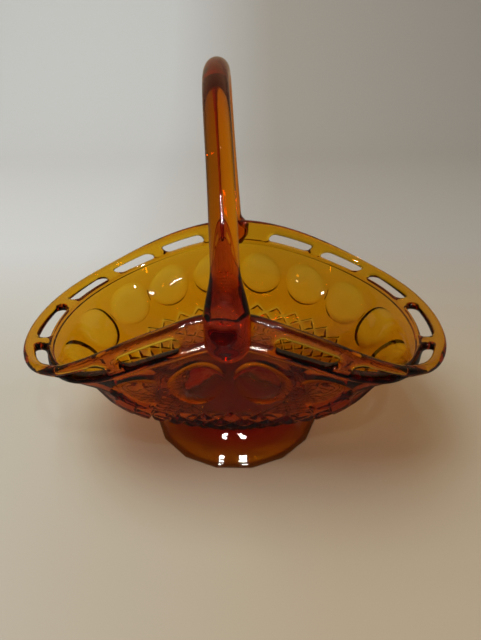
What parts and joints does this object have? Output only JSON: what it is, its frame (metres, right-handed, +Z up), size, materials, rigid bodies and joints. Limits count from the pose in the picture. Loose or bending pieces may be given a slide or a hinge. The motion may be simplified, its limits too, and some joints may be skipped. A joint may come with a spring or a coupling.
{
  "type": "glass basket",
  "caption": "Boat-shaped amber glass basket with thumbprints, diamond points and a slotted rim, on a panelled foot, with one arched handle from side to side.",
  "frame": {"origin": "middle of the foot, on the table it stands on", "axes": "+X along the bowl's length, +Y across it from one leg of the handle to the other, +Z up"},
  "size_m": [0.275, 0.1702, 0.237],
  "materials": {
    "amber_glass": "polished"
  },
  "bodies": {
    "root": {"basket": "amber_glass"}
  },
  "joints": []
}
